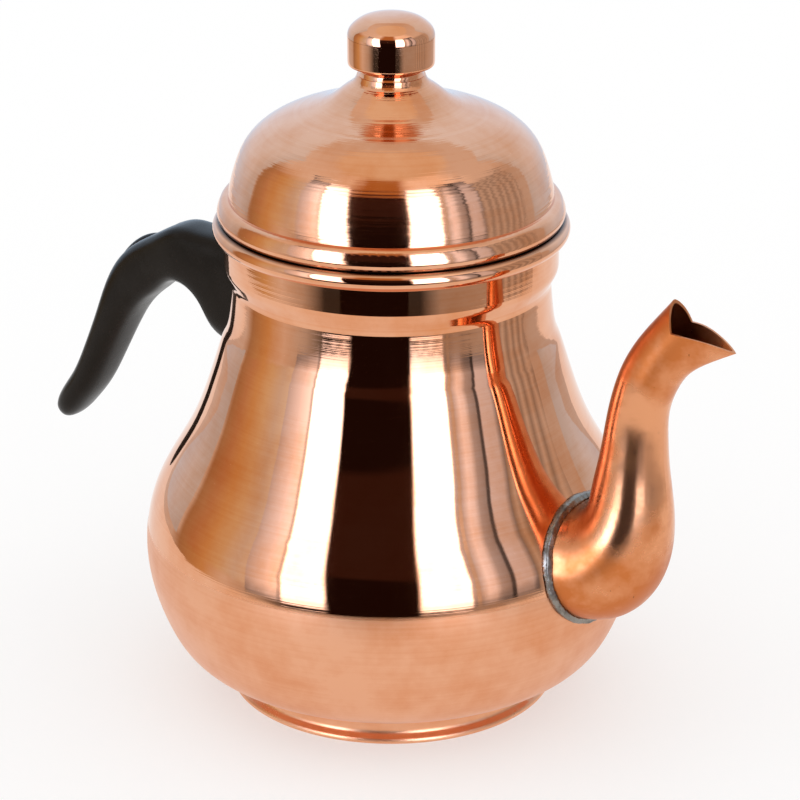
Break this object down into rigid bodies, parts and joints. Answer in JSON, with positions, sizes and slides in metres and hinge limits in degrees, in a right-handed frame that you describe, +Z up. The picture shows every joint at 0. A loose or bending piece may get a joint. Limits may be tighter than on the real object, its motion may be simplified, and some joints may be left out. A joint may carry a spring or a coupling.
{
  "type": "copper teapot",
  "caption": "Pear-shaped spun copper teapot on a foot ring, with a soldered S-curved spout, a wired rim, an open black moulded handle and a loose domed lid with a knob.",
  "frame": {"origin": "on the table, at the middle of the overall length from the grip's back to the spout's lip; the pot's own axis stands at x = 7.5 mm", "axes": "+Z up along the pot's axis, +X towards the spout's mouth, -X towards the handle"},
  "size_m": [0.258, 0.156, 0.2192],
  "materials": {
    "copper": "polished copper with fine spin lines",
    "steel": "plain steel",
    "solder": "dull soft solder",
    "brass": "plain brass",
    "black_moulding": "satin black moulding"
  },
  "bodies": {
    "pot": {"body_shell": "copper", "rim_wire": "steel", "foot_ring": "copper", "foot_solder": "solder", "spout": "copper", "spout_solder": "solder", "handle_bracket": "brass", "bracket_rivets": "copper", "handle_grip": "black_moulding", "handle_washer": "steel", "handle_screw": "steel"},
    "lid": {"lid_dome": "copper", "lid_skirt": "copper", "lid_solder": "solder", "knob_cup": "copper", "knob_cap": "copper", "knob_bolt": "brass", "knob_washer": "brass", "knob_nut": "brass"}
  },
  "joints": [
    {"name": "lid_lift", "type": "slide", "parent": "pot", "child": "lid", "axis": [0, 0, 1], "range_m": [0, 0.09]}
  ]
}
